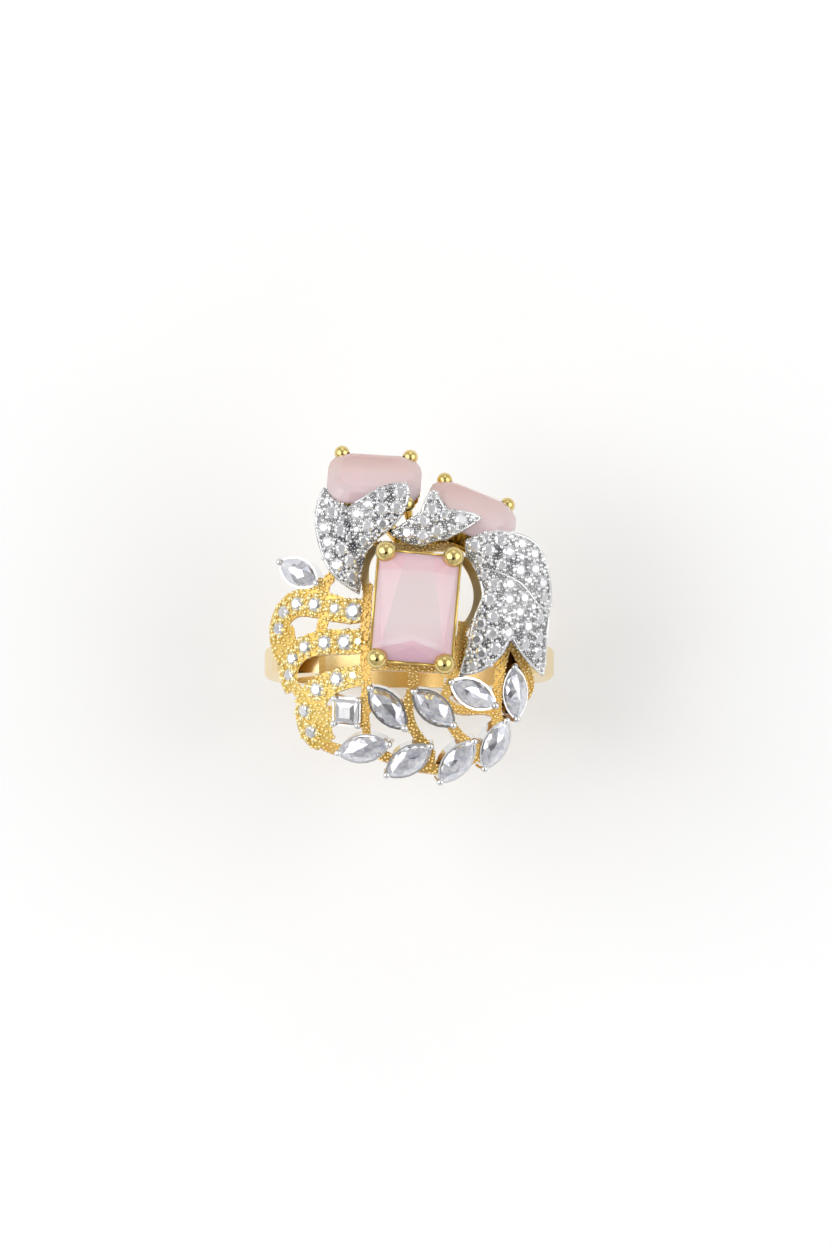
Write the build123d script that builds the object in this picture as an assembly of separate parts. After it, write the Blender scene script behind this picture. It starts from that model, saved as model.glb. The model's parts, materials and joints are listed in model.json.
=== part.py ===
from build123d import *
import math
import os
import random

os.makedirs("parts", exist_ok=True)

# Cocktail ring: a band under a domed openwork head that carries three rose quartz buds.
#
# Millimetres. The origin is the centre of the finger bore, +Y runs along the finger, +Z points up
# through the head and +X to the right when the head is seen from above with +Y upwards.
#
# The head is a set of plates that lie on one dome. The dome is an arc across X, revolved about a
# line parallel to X, so it falls away more steeply beside the finger than along it. Each petal has
# a smaller dome of its own, which lifts it over the bud that it holds.

# ---- driving dimensions ---------------------------------------------------------------------
FINGER_RADIUS = 8.9
BAND_WIDTH = 2.5
BAND_OUTER_RADIUS = 11.0
BAND_OUTER_LIFT = 0.5  # the outer circle's centre is this far up, so the band thins at its base
BAND_EDGE = 0.55  # rounding of the band's outer edges
SHOULDER_X = 6.75  # inner end of each shoulder block

DOME_ACROSS = 15.0  # radius of the head's dome across the finger
DOME_ALONG = 26.0  # and along it
DOME_TOP = 12.8
DOME_Y = 1.5
PLATE = 1.15  # thickness of the head's plates
PETAL = 0.9
VINE = 1.6

CENTRE = (0.45, 3.2, 14.9)  # middle of the centre stone's girdle
CENTRE_TURN = -4.8  # degrees about +Z
CENTRE_SIZE = (5.9, 8.0)
CENTRE_CORNER = 0.45
CENTRE_HEIGHTS = (1.05, 2.4)  # crown above the girdle and pavilion below it
CENTRE_BALL = 0.79
CENTRE_BALL_AT = (2.5, 3.97)  # ball prong places from the stone's middle
CENTRE_CLAW = 0.42
CENTRE_FOOT = (2.6, 4.02, -3.3)
CENTRE_POST = 1.0  # width left at each side of a window of the basket
CENTRE_WINDOW = 1.3  # and its height
CENTRE_WINDOW_Z = -1.65
# growth past the stone's size, corner, top below the girdle, height, wall
CENTRE_RAILS = [(0.36, 0.5, -0.15, 0.65, 0.42), (-0.3, 0.5, -0.8, 1.7, 0.3), (-0.6, 0.5, -2.5, 0.8, 0.6)]

BUD_SIZE = (7.0, 5.0)
BUD_CORNER = 1.25
BUD_HEIGHTS = (0.9, 1.5)
BUD_BALL = 0.58
BUD_BALL_AT = (2.55, 2.4)
BUD_BALL_Z = 0.12
BUD_CLAW = 0.33
BUD_FOOT = (2.75, 1.95, -1.7)
BUD_RAILS = [(0.3, 1.25, -0.12, 0.5, 0.45), (-0.3, 1.15, -0.5, 0.75, 0.5), (-1.0, 1.0, -1.1, 0.6, 0.6)]
UPPER_LEFT = dict(middle=(-2.6, 13.0, 11.9), heading=87.0, lean=38.0, turn=-3.5)
UPPER_RIGHT = dict(middle=(4.65, 10.5, 11.5), heading=60.0, lean=48.0, turn=-21.0)

MARQUISE_SIZE = (3.8, 1.95)
MARQUISE_WALL = 0.16
MARQUISE_CUP = 1.0  # height of the cup round a marquise
MARQUISE_LIFT = 0.12
BEAD = 0.25  # radius of the bead prongs of the marquises and the square stone
# middle x, middle y and heading of each marquise, from the one by the middle of the vine round
# the vine, and last the one that stands alone beside the upper scroll
MARQUISES = [
    (-1.6, -4.05, -49.0),
    (1.8, -4.05, -40.0),
    (4.75, -2.95, -27.0),
    (7.9, -2.8, -87.0),
    (6.4, -6.65, 65.0),
    (3.55, -7.95, 50.0),
    (-0.05, -7.9, 33.0),
    (-3.4, -7.0, 9.0),
    (-8.25, 6.2, -32.0),
]
SQUARE = dict(x=-4.6, y=-4.25, turn=-6.0, side=1.9)

# round stones of the scrolls: x, y, radius
UPPER_SCROLL_STONES = [
    (-4.15, 3.15, 0.72),
    (-5.55, 3.4, 0.5),
    (-7.05, 3.75, 0.6),
    (-8.4, 3.85, 0.58),
    (-9.4, 3.3, 0.55),
    (-9.8, 2.05, 0.55),
]
MIDDLE_SCROLL_STONES = [
    (-4.8, 0.87, 0.66),
    (-6.3, 0.87, 0.62),
    (-7.8, 0.6, 0.56),
    (-8.75, -0.25, 0.52),
    (-9.0, -1.45, 0.5),
]
LOWER_SCROLL_STONES = [
    (-5.4, -1.85, 0.6),
    (-6.9, -2.6, 0.58),
    (-7.85, -4.15, 0.54),
    (-7.35, -5.7, 0.54),
]

SEAT_GAP = 0.02  # room round a set stone
PAVE_RIM = 0.13  # metal left between a petal's stones and its edge
PAVE_GAP = 0.1  # and between one stone and the next
PAVE_SIZES = (0.5, 0.42, 0.33)  # radii, larger first
CRUMB = 0.03  # cubic millimetres: anything smaller that a cut leaves is cleaned away
SCRAP = 0.25  # the same for the pieces of the frame
BRIDGE_WALL = 1.0  # the bridge closes the bore between the shoulders
BRIDGE_Y = 0.85
BRIDGE_WIDTH = 1.3
WEB_WIDTH = 0.7
WEB_HOLE = 0.42
WEB_HOLE_ARC = 10.55
COLUMN_WIDTH = 0.72
CROSS_BAR_WIDTH = 0.5
TOP_BAR_WIDTH = 0.6
LOOP_WIDTH = 0.6
SPINE_RADIUS = 0.5
STRUT_RADIUS = 0.38
SPAN = 30.0  # taller and wider than the head, for prisms and cutting bodies


# ---- the domes ------------------------------------------------------------------------------
def dome_height(x, y):
    """Height of the head's dome at x, y."""
    rho = DOME_ALONG - DOME_ACROSS + math.sqrt(DOME_ACROSS**2 - x**2)
    return DOME_TOP - DOME_ALONG + math.sqrt(rho**2 - (y - DOME_Y) ** 2)


def dome_normal(x, y):
    """Outward unit normal of the head's dome at x, y."""
    level = math.sqrt(DOME_ACROSS**2 - x**2)
    lean = math.asin((y - DOME_Y) / (DOME_ALONG - DOME_ACROSS + level))
    return Vector(x, level * math.sin(lean), level * math.cos(lean)) / DOME_ACROSS


def dome_solid(across, along, top, depth=9.0):
    """Everything under a dome whose apex is at (0, 0, top), down to depth under the apex."""
    half = across * 0.9
    edge = top - across + math.sqrt(across**2 - half**2)
    axis = top - along
    floor = max(top - depth, axis + 1.0)
    outline = Polyline((half, edge), (half, floor), (-half, floor), (-half, edge))
    lean = math.asin(0.45)
    mid_x, mid_z = across * math.sin(lean), top - across + across * math.cos(lean)
    arcs = [
        ThreePointArc((-half, edge), (-mid_x, mid_z), (0, top)),
        ThreePointArc((0, top), (mid_x, mid_z), (half, edge)),
    ]
    face = Plane.XZ * make_face(Curve() + [outline, *arcs])
    turn = 2 * math.degrees(math.asin(min(0.95, 16.0 / along)))
    start = Rot(-turn / 2, 0, 0)
    about = Axis((0, 0, axis), (1, 0, 0))
    down, up = Pos(0, 0, -axis), Pos(0, 0, axis)
    return revolve(up * start * down * face, about, turn)


def dome_shell(across, along, top, thickness):
    """The layer of that thickness just under a dome."""
    inner = dome_solid(across - thickness, along - thickness, top - thickness)
    return dome_solid(across, along, top) - inner


HEAD_DOME = Pos(0, DOME_Y, 0)
HEAD_SHELL = HEAD_DOME * dome_shell(DOME_ACROSS, DOME_ALONG, DOME_TOP, PLATE)
VINE_SHELL = HEAD_DOME * dome_shell(DOME_ACROSS, DOME_ALONG, DOME_TOP, VINE)
UNDER_HEAD = HEAD_DOME * dome_solid(DOME_ACROSS - PLATE, DOME_ALONG - PLATE, DOME_TOP - PLATE)


# ---- flat outlines --------------------------------------------------------------------------
def closed_face(*curves):
    """A face bounded by smooth curves, each a list of points that starts where the last ends."""
    edges = [Spline(*c) if len(c) > 2 else Line(*c) for c in curves]
    return make_face(Curve() + edges)


def ribbon(points, widths):
    """A face that follows points smoothly, with the width named at each."""
    left, right = [], []
    for i, (x, y) in enumerate(points):
        before, after = points[max(i - 1, 0)], points[min(i + 1, len(points) - 1)]
        along = Vector(after[0] - before[0], after[1] - before[1]).normalized()
        side = Vector(-along.Y, along.X) * (widths[i] / 2)
        left.append((x + side.X, y + side.Y))
        right.append((x - side.X, y - side.Y))
    right.reverse()
    return closed_face(left, [left[-1], right[0]], right, [right[-1], left[0]])


def stem(points, width):
    """A ribbon of even width with rounded ends, for a stem of the vine."""
    face = ribbon(points, [width] * len(points))
    for x, y in (points[0], points[-1]):
        face += Pos(x, y) * Circle(width / 2)
    return face


def plate(face, shell):
    """The part of a shell that lies over a flat face."""
    return extrude(face, SPAN) & shell


# ---- faceted stones -------------------------------------------------------------------------
def faceted(outline, rings):
    """A convex stone: one outline, at the scale and height of each ring, from the top down."""
    levels = [[Vector(x * s, y * s, z) for x, y in outline] for s, z in rings]
    faces = [Face(Wire.make_polygon(levels[0])), Face(Wire.make_polygon(levels[-1]))]
    count = len(outline)
    for upper, lower in zip(levels, levels[1:]):
        for i in range(count):
            j = (i + 1) % count
            corners = [upper[i], upper[j], lower[j], lower[i]]
            faces.append(Face(Wire.make_polygon(corners)))
    return Solid(Shell(faces))


def polygon_points(count, radius):
    turns = [2 * math.pi * (i + 0.5) / count for i in range(count)]
    return [(radius * math.cos(t), radius * math.sin(t)) for t in turns]


def marquise_points(length, width, count=8):
    """Points of a marquise outline: two arcs that meet in a point at each end."""
    half = length / 2
    radius = (half**2 + (width / 2) ** 2) / width
    sweep = math.asin(half / radius)
    angles = [sweep - 2 * sweep * i / count for i in range(count)]
    top = [(radius * math.sin(a), radius * math.cos(a) - radius + width / 2) for a in angles]
    return top + [(-x, -y) for x, y in top]


def octagon_points(length, width, corner):
    a, b = length / 2, width / 2
    quarter = [(a, b - corner), (a - corner, b)]
    left = [(-x, y) for x, y in reversed(quarter)]
    return quarter + left + [(-x, -y) for x, y in quarter] + [(-x, -y) for x, y in left]


BRILLIANT = [(0.57, 0.30), (1.0, 0.03), (1.0, -0.03), (0.08, -0.82)]


def brilliant(radius):
    rings = [(s, z * radius) for s, z in BRILLIANT]
    return faceted(polygon_points(8, radius), rings)


def marquise(length, width):
    rings = [(0.58, 0.30), (1.0, 0.04), (1.0, -0.04), (0.10, -0.70)]
    return faceted(marquise_points(length, width), rings)


def step_cut(length, width, corner, crown, depth):
    """An emerald cut: a wide table, one step of crown, and a pavilion that ends in a keel."""
    points = octagon_points(length, width, corner)
    rings = [(0.66, crown), (0.93, crown * 0.45), (1.0, 0.07), (1.0, -0.07)]
    rings += [(0.72, -depth * 0.55), (0.15, -depth)]
    return faceted(points, rings)


# ---- placing things on the head -------------------------------------------------------------
def tangent_plane(middle, normal, turn):
    """A plane at middle with that normal, whose x axis heads turn degrees from +X from above."""
    normal = Vector(*normal)
    flat = Vector(math.cos(math.radians(turn)), math.sin(math.radians(turn)))
    rise = -(flat.X * normal.X + flat.Y * normal.Y) / normal.Z
    return Plane(middle, x_dir=(flat.X, flat.Y, rise), z_dir=normal)


def on_dome(x, y, turn=0.0, lift=0.0):
    normal = dome_normal(x, y)
    middle = Vector(x, y, dome_height(x, y)) + normal * lift
    return tangent_plane(middle, normal, turn)


def bud_plane(middle, heading, lean, turn):
    lean, heading = math.radians(lean), math.radians(heading)
    flat = math.sin(lean)
    normal = (flat * math.cos(heading), flat * math.sin(heading), math.cos(lean))
    return tangent_plane(middle, normal, turn)


def rod(points, radius):
    """Straight round bars between points, with a ball at each bend."""
    solid = None
    for a, b in zip(points, points[1:]):
        a, b = Vector(*a), Vector(*b)
        bar = Plane(a, z_dir=b - a) * extrude(Circle(radius), (b - a).length)
        solid = bar if solid is None else solid + bar
    for p in points[1:-1]:
        solid += Pos(*p) * Sphere(radius)
    return solid


def span(solid):
    """A solid's lowest and highest corner."""
    box = solid.bounding_box(optimal=False)
    return tuple(box.min), tuple(box.max)


def spans_meet(one, other):
    return all(one[0][i] <= other[1][i] and other[0][i] <= one[1][i] for i in range(3))


def cut_solids(shape, cutters, least=CRUMB):
    """The solids left of a shape once each cutter, a solid and its span, is taken out of it."""
    left = list(shape.solids())
    for cutter, cutter_span in cutters:
        rest = []
        for solid in left:
            if spans_meet(span(solid), cutter_span):
                remainder = solid - cutter
                rest += remainder.solids() if remainder else []
            else:
                rest.append(solid)
        left = rest
    return [solid for solid in left if solid.volume > least]


def with_spans(solids):
    return [(solid, span(solid)) for solid in solids]


def touches(one, others):
    """Whether a solid shares any space with one of the others, which come with their spans."""
    own = span(one)
    for other, other_span in others:
        if spans_meet(own, other_span):
            shared = one & other
            if shared and sum(s.volume for s in shared.solids()) > 0:
                return True
    return False


def seat_cone(plane, radius, depth):
    """The drilled seat under a round stone: it holds the girdle and runs through the plate."""
    top = 0.5
    slope = 0.6 * radius / depth
    wide = radius + SEAT_GAP
    bottom = radius * 0.4
    cone = Cone(bottom, wide + slope * top, depth + top, align=(Align.CENTER, Align.CENTER, Align.MIN))
    return plane * (Pos(0, 0, -depth) * cone)


# ---- pave -----------------------------------------------------------------------------------
def sampled(face, step=0.12):
    """Points round a flat face's outline."""
    wire = face.face().outer_wire()
    count = max(40, int(wire.length / step))
    spots = [wire.position_at(i / count) for i in range(count)]
    return [(p.X, p.Y) for p in spots]


def inside(x, y, loop):
    hit = False
    for (xa, ya), (xb, yb) in zip(loop, loop[1:] + loop[:1]):
        if (ya > y) != (yb > y) and x < xa + (y - ya) * (xb - xa) / (yb - ya):
            hit = not hit
    return hit


def pave_layout(face, radii, rim, gap, first=()):
    """Round stones packed in rows that follow the outline: x, y and radius of each.

    Stones of the larger radii go in first, rim keeps them off the edge and gap off each other.
    """
    loop = sampled(face)
    box = face.bounding_box()
    pitch = 0.07
    spots = []
    for i in range(int(box.size.X / pitch) + 1):
        for j in range(int(box.size.Y / pitch) + 1):
            x, y = box.min.X + i * pitch, box.min.Y + j * pitch
            if inside(x, y, loop):
                edge = [math.hypot(x - a, y - b) for a, b in loop]
                near = min(edge)
                spots.append((near, edge.index(near), x, y))
    stones = list(first)
    for radius in radii:
        row = 1.8 * radius + gap
        start = rim + radius
        order = sorted((int((s[0] - start) / row), s[1], s[0], s) for s in spots if s[0] >= start)
        for *_, (near, _index, x, y) in order:
            if all(math.hypot(x - a, y - b) >= radius + r + gap for a, b, r in stones):
                stones.append((x, y, radius))
    return stones


class Petal:
    """A pave-set petal: its blank, the same drilled as a plate, and its stones."""

    def __init__(self, face, apex, across, along, turn, radii, first=()):
        self.apex, self.across, self.along, self.turn = apex, across, along, turn
        place = Pos(apex[0], apex[1], 0) * Rot(0, 0, turn)
        whole = plate(face, place * dome_shell(across, along, apex[2], PETAL))
        pieces = cut_solids(whole, PETAL_NEIGHBOURS)
        self.blank = max(pieces, key=lambda piece: piece.volume)
        self.stones, seats = [], []
        for x, y, radius in pave_layout(face, radii, PAVE_RIM, PAVE_GAP, first):
            seat = self.tangent(x, y)
            stone = seat * brilliant(radius)
            if not touches(stone, PETAL_NEIGHBOURS):
                seats.append(seat_cone(seat, radius, PETAL * 1.5))
                self.stones.append(stone)
        self.plate = self.blank - seats

    def tangent(self, x, y):
        """The plane that touches the petal's dome over x, y."""
        turn = math.radians(self.turn)
        dx, dy = x - self.apex[0], y - self.apex[1]
        u = dx * math.cos(turn) + dy * math.sin(turn)
        v = dy * math.cos(turn) - dx * math.sin(turn)
        level = math.sqrt(self.across**2 - u**2)
        rho = self.along - self.across + level
        height = self.apex[2] - self.along + math.sqrt(rho**2 - v**2)
        lean = math.asin(v / rho)
        nu, nv = u / self.across, level * math.sin(lean) / self.across
        nz = level * math.cos(lean) / self.across
        nx = nu * math.cos(turn) - nv * math.sin(turn)
        ny = nu * math.sin(turn) + nv * math.cos(turn)
        return tangent_plane((x, y, height), (nx, ny, nz), random.uniform(0, 45))


random.seed(7)

# ---- stones ---------------------------------------------------------------------------------
centre_plane = Plane(CENTRE, x_dir=(1, 0, 0), z_dir=(0, 0, 1)).rotated((0, 0, CENTRE_TURN))
centre_stone = centre_plane * step_cut(*CENTRE_SIZE, CENTRE_CORNER, *CENTRE_HEIGHTS)
upper_left_plane, upper_right_plane = bud_plane(**UPPER_LEFT), bud_plane(**UPPER_RIGHT)
bud_stone = step_cut(*BUD_SIZE, BUD_CORNER, *BUD_HEIGHTS)
upper_left_stone, upper_right_stone = upper_left_plane * bud_stone, upper_right_plane * bud_stone


# ---- settings -------------------------------------------------------------------------------
def rail(length, width, corner, top, height, wall):
    """A rectangular wire frame with cut corners, its top at a height."""
    outer = Polygon(*octagon_points(length, width, corner), align=None)
    inside_points = octagon_points(length - 2 * wall, width - 2 * wall, max(corner - wall / 2, 0.1))
    inner = Polygon(*inside_points, align=None)
    return Pos(0, 0, top - height) * extrude(outer - inner, height)


def stacked_rails(size, rails):
    """The rails of a basket: each is named by its growth past the stone, corner, top, height, wall."""
    length, width = size
    return [rail(length + more, width + more, *rest) for more, *rest in rails]


def claw(x, y, foot, top, radius, ball):
    """An upright prong with a ball on its end, leaning in from a foot point."""
    low, high = Vector(*foot), Vector(x, y, top)
    leg = Plane(low, z_dir=high - low) * extrude(Circle(radius), (high - low).length)
    return leg + Pos(x, y, top) * Sphere(ball)


def centre_setting():
    """The centre stone's basket, with a window in each side, and its four ball prongs."""
    length, width = CENTRE_SIZE
    top_rail, walls, base_rail = stacked_rails(CENTRE_SIZE, CENTRE_RAILS)
    post = 2 * CENTRE_POST
    window = Box(length - post, SPAN, CENTRE_WINDOW) + Box(SPAN, width - post, CENTRE_WINDOW)
    basket = top_rail + base_rail + (walls - Pos(0, 0, CENTRE_WINDOW_Z) * window)
    claws = []
    for sx in (-1, 1):
        for sy in (-1, 1):
            x, y = sx * CENTRE_BALL_AT[0], sy * CENTRE_BALL_AT[1]
            foot = (sx * CENTRE_FOOT[0], sy * CENTRE_FOOT[1], CENTRE_FOOT[2])
            claws.append(claw(x, y, foot, CENTRE_CLAW, CENTRE_CLAW, CENTRE_BALL))
    return basket, claws


def bud_setting():
    """The basket of an upper stone, and a ball prong for each of its corners."""
    top_rail, middle_rail, base_rail = stacked_rails(BUD_SIZE, BUD_RAILS)
    claws = []
    for sx in (-1, 1):
        for sy in (-1, 1):
            foot = (sx * BUD_FOOT[0], sy * BUD_FOOT[1], BUD_FOOT[2])
            x, y = sx * BUD_BALL_AT[0], sy * BUD_BALL_AT[1]
            claws.append(claw(x, y, foot, BUD_BALL_Z, BUD_CLAW, BUD_BALL))
    return top_rail + middle_rail + base_rail, claws


def marquise_setting():
    """A cup round a marquise, open below, with a bead prong over each point of the stone."""
    length, width = MARQUISE_SIZE
    wall = MARQUISE_WALL
    outer = Polygon(*marquise_points(length + 3 * wall, width + 2 * wall), align=None)
    inner = Polygon(*marquise_points(length * 0.72, width * 0.72), align=None)
    low = -0.05 - MARQUISE_CUP
    cup = Pos(0, 0, low) * extrude(outer, MARQUISE_CUP) - Pos(0, 0, low) * extrude(inner, SPAN)
    for side in (-1, 1):
        end = side * (length / 2 + MARQUISE_WALL / 2)
        cup += Pos(end, 0, 0) * Sphere(BEAD + 0.04)
        cup += Pos(end, 0, low / 2) * Cylinder(BEAD, -low)
    return cup - marquise(length, width)


def square_setting(side):
    """A square box round the square stone, open below, with a bead prong at each corner."""
    outside = side + 2 * MARQUISE_WALL
    hollow = side * 0.7
    box = Pos(0, 0, -0.5) * (Box(outside, outside, 0.9) - Box(hollow, hollow, SPAN))
    corner = side / 2
    for sx in (-1, 1):
        for sy in (-1, 1):
            box += Pos(sx * corner, sy * corner, -0.3) * Cylinder(BEAD, 0.9)
            box += Pos(sx * corner, sy * corner, 0.15) * Sphere(BEAD)
    return box


def placed_claws(place, claws, stone):
    cutters = with_spans([stone])
    return [solid for claw in claws for solid in cut_solids(place * claw, cutters)]


basket, claws = centre_setting()
centre_claws = placed_claws(centre_plane, claws, centre_stone)
basket, claws = bud_setting()
_near_left, far_left, near_right, far_right = claws
# the petals cover the buds' other corners, so no prong stands there
upper_left_claws = [far_left, near_right, far_right]
upper_left_claws = placed_claws(upper_left_plane, upper_left_claws, upper_left_stone)
upper_right_claws = placed_claws(upper_right_plane, [far_left, far_right], upper_right_stone)
bud_stones = [upper_left_stone, upper_right_stone]
bud_claws = upper_left_claws + upper_right_claws
PETAL_NEIGHBOURS = with_spans(bud_stones + bud_claws + centre_claws)

marquise_places = [on_dome(x, y, turn, MARQUISE_LIFT) for x, y, turn in MARQUISES]
square_outline = octagon_points(SQUARE["side"], SQUARE["side"], 0.08)
square_cut = faceted(square_outline, [(0.6, 0.45), (1.0, 0.06), (1.0, -0.06), (0.1, -0.95)])
square_place = on_dome(SQUARE["x"], SQUARE["y"], SQUARE["turn"], 0.25)

# ---- petals ---------------------------------------------------------------------------------
NOTCH = (-4.55, 10.8)
ROOT = (-3.7, 4.4)
LEFT_FOLD = [NOTCH, (-4.35, 9.5), (-3.95, 8.0), (-3.6, 6.3), ROOT]
left_outer_face = closed_face(
    [ROOT, (-4.6, 4.9), (-5.5, 5.6), (-6.45, 7.2), (-7.0, 9.6), (-6.75, 11.6), (-6.4, 12.35)],
    [(-6.4, 12.35), (-5.3, 11.75), NOTCH],
    LEFT_FOLD,
)
left_inner_face = closed_face(
    [NOTCH, (-3.5, 11.45), (-2.4, 12.1), (-0.2, 12.55)],
    [(-0.2, 12.55), (0.02, 11.5), (-0.5, 10.2), (-1.5, 9.05)],
    [(-1.5, 9.05), (-2.2, 8.55), (-2.85, 8.0), (-3.3, 7.1), (-3.55, 6.0)],
    [(-3.55, 6.0), (-3.6, 6.3)],
    [(-3.6, 6.3), (-3.95, 8.0), (-4.35, 9.5), NOTCH],
)
middle_face = closed_face(
    [(-1.4, 8.9), (-0.7, 9.4), (0.8, 10.3)],
    [(0.8, 10.3), (1.05, 11.0), (1.7, 12.15)],
    [(1.7, 12.15), (2.35, 11.4), (2.9, 10.6)],
    [(2.9, 10.6), (4.0, 10.5), (5.4, 10.1)],
    [(5.4, 10.1), (4.55, 9.35), (3.4, 8.7), (2.75, 8.3)],
    [(2.75, 8.3), (1.9, 8.25), (0.8, 7.9), (-0.4, 8.25), (-1.4, 8.9)],
)
SHARED_RIM = [(4.85, 6.4), (6.6, 6.05), (8.3, 5.3), (9.6, 3.8), (10.45, 3.05)]
right_upper_face = closed_face(
    [(4.2, 7.2), (4.15, 8.3)],
    [(4.15, 8.3), (5.85, 8.95), (7.4, 9.0), (9.35, 8.3), (10.3, 6.6), (10.6, 4.6), (10.45, 3.05)],
    SHARED_RIM[::-1],
    [SHARED_RIM[0], (4.2, 7.2)],
)
right_lower_face = closed_face(
    SHARED_RIM,
    [SHARED_RIM[-1], (10.3, 1.2), (10.2, -0.5), (10.0, -1.5)],
    [(10.0, -1.5), (9.0, -0.8), (8.2, 0.1), (7.55, 0.95)],
    [(7.55, 0.95), (6.9, -0.15), (5.6, -1.2), (3.75, -1.55)],
    [(3.75, -1.55), (4.25, 0.4), (4.8, 2.65), (5.35, 4.1), (5.2, 5.3), SHARED_RIM[0]],
)


left_outer = Petal(
    left_outer_face, (-4.9, 8.2, 13.5), 4.6, 13.0, 4.0, PAVE_SIZES, [(-5.1, 9.15, 0.5), (-5.0, 7.75, 0.5)]
)
left_inner = Petal(left_inner_face, (-1.6, 10.9, 14.3), 7.5, 13.0, -35.0, PAVE_SIZES)
middle = Petal(middle_face, (2.2, 9.9, 14.2), 9.0, 11.0, 0.0, PAVE_SIZES)
right_upper = Petal(right_upper_face, (5.8, 7.8, 13.8), 8.4, 12.0, 0.0, PAVE_SIZES)
right_lower = Petal(right_lower_face, (5.2, 4.6, 13.8), 7.2, 15.0, 0.0, PAVE_SIZES)


# ---- scrolls --------------------------------------------------------------------------------
def scroll(points, widths, stones):
    """A scroll of the head with its round stones: the plate and the stones."""
    body = plate(ribbon(points, widths), HEAD_SHELL)
    gems, seats = [], []
    for x, y, radius in stones:
        place = on_dome(x, y, 10.0)
        seats.append(seat_cone(place, radius, PLATE * 1.4))
        gems.append(place * brilliant(radius))
    return body - seats, gems


upper_scroll, upper_scroll_gems = scroll(
    [(-3.5, 3.2), (-5.4, 3.4), (-7.4, 3.95), (-8.7, 3.75), (-9.6, 2.7), (-9.75, 1.2), (-9.3, -0.4)],
    [1.7, 1.9, 2.1, 1.9, 1.5, 1.35, 1.1],
    UPPER_SCROLL_STONES,
)
middle_scroll, middle_scroll_gems = scroll(
    [(-3.5, 0.9), (-5.2, 0.92), (-6.8, 0.85), (-8.0, 0.4), (-8.85, -0.6), (-9.0, -1.7), (-8.7, -2.6)],
    [1.75, 1.8, 1.8, 1.6, 1.45, 1.3, 1.1],
    MIDDLE_SCROLL_STONES,
)
lower_scroll, lower_scroll_gems = scroll(
    [(-3.5, -1.6), (-5.0, -1.85), (-6.35, -2.4), (-7.2, -3.3), (-7.2, -4.5), (-6.9, -5.6), (-6.2, -6.6)],
    [1.4, 1.6, 1.9, 2.25, 2.55, 2.4, 1.5],
    LOWER_SCROLL_STONES,
)


# ---- columns beside the centre stone, loop wires and the vine ---------------------------------
def stems(routes):
    """The faces of several stems, each a list of points and a width, as one face."""
    face = stem(*routes[0])
    for points, width in routes[1:]:
        face += stem(points, width)
    return face


LEFT_COLUMN = [(-3.05, 5.2), (-3.15, 3.5), (-3.3, 1.0), (-3.25, -1.2), (-3.1, -2.6)]
RIGHT_COLUMN = [(4.0, 2.4), (3.88, 1.2), (3.75, 0.0), (3.6, -1.15)]
CROSS_BAR = [(-3.0, -0.95), (0.2, -1.1), (3.5, -1.2)]
TOP_BAR = [(-2.4, 8.1), (0.8, 7.95), (3.9, 8.1)]
LEFT_LOOP = [(-2.5, 7.9), (-3.1, 7.1), (-3.3, 6.1), (-3.2, 5.0)]
RIGHT_LOOP = [(4.1, 7.0), (4.8, 5.8), (5.1, 4.4), (4.9, 3.2), (4.15, 2.0)]
SCROLL_TIES = [
    ([(-6.2, 2.9), (-6.5, 2.1), (-6.5, 1.2)], 0.8),
    ([(-8.9, 1.9), (-8.6, 0.6), (-8.4, 0.2)], 0.7),
    ([(-8.6, -2.2), (-8.0, -3.0), (-7.6, -3.4)], 0.8),
]
LEAF_BRANCH = [
    ([(-8.3, 6.2), (-7.2, 5.5), (-6.3, 5.0)], 0.8),
    ([(-6.3, 4.2), (-6.35, 5.0), (-5.9, 5.7)], 0.75),
]
VINE_STEMS = [
    ([(-3.15, -2.4), (-3.3, -3.6), (-3.25, -5.0), (-3.1, -6.4), (-3.0, -7.0)], 0.62),
    ([(0.15, -1.1), (0.2, -2.6), (-0.05, -3.7), (0.1, -5.0), (0.8, -6.3), (1.4, -7.0), (1.6, -7.9)], 0.7),
    ([(3.3, -1.5), (2.85, -2.7), (2.5, -4.0), (3.1, -5.2), (3.7, -6.0), (4.6, -6.7), (5.6, -7.4)], 0.72),
    ([(-3.2, -7.1), (-1.9, -7.5), (-0.6, -8.1), (1.2, -8.4), (2.9, -8.5), (4.3, -7.9), (5.6, -7.2)], 0.75),
    ([(3.0, -3.7), (4.3, -4.2), (6.0, -4.2), (6.9, -5.0)], 0.6),
    ([(7.55, 1.4), (6.9, -0.6), (6.6, -2.4), (6.5, -4.2), (6.6, -6.0)], 0.75),
    ([(7.55, 1.4), (8.4, -0.4), (8.95, -1.8), (8.5, -3.2)], 0.75),
    ([(-5.4, -4.2), (-7.2, -4.2)], 0.8),
    ([(-4.2, -4.2), (-3.2, -4.1)], 0.8),
    ([(-3.4, -7.1), (-5.0, -7.1), (-6.2, -6.7)], 0.8),
]
for x, y, turn in MARQUISES[:-1]:
    reach = Vector(math.cos(math.radians(turn)), math.sin(math.radians(turn))) * 1.3
    VINE_STEMS.append(([(x - reach.X, y - reach.Y), (x + reach.X, y + reach.Y)], 0.9))
vine_face = stems(VINE_STEMS)
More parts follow.
